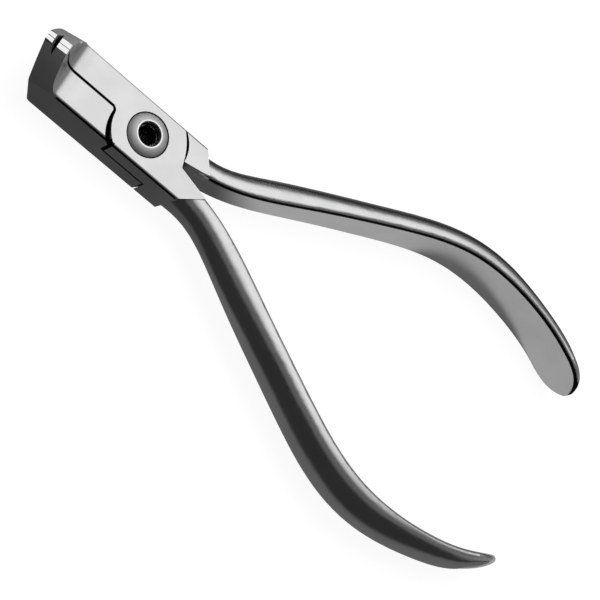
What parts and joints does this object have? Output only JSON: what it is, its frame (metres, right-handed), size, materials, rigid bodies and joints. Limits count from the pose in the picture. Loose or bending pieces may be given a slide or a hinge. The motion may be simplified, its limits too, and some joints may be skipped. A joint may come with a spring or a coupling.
{
  "type": "orthodontic distal end cutter",
  "caption": "Hand pliers with a flat lap joint, turned-up carbide-tipped cutting jaws, a domed pivot screw with a hexagon socket and bowed D-section handles.",
  "frame": {"origin": "on the pivot's axis, at the flat underside of the head", "axes": "+X from the pivot to the tips, +Y towards the lower half's jaw, +Z along the pivot to its domed head, the way the tips turn up"},
  "size_m": [0.1294, 0.0634, 0.015],
  "materials": {
    "forged_steel": "satin polished stainless steel",
    "screw_steel": "turned and polished stainless steel",
    "carbide": "finely ground tungsten carbide",
    "braze": "dull brazed seam"
  },
  "bodies": {
    "upper_lever": {"upper_half": "forged_steel", "upper_cutting_insert": "carbide", "upper_holding_insert": "carbide", "upper_cutting_braze": "braze", "upper_holding_braze": "braze"},
    "lower_lever": {"lower_half": "forged_steel", "pivot_screw": "screw_steel", "lower_cutting_insert": "carbide", "lower_holding_insert": "carbide", "lower_cutting_braze": "braze", "lower_holding_braze": "braze"}
  },
  "joints": [
    {"name": "pivot", "type": "hinge", "parent": "upper_lever", "child": "lower_lever", "pos_m": [0, 0, 0.004], "axis": [0, 0, 1], "range_deg": [0, 25]}
  ]
}
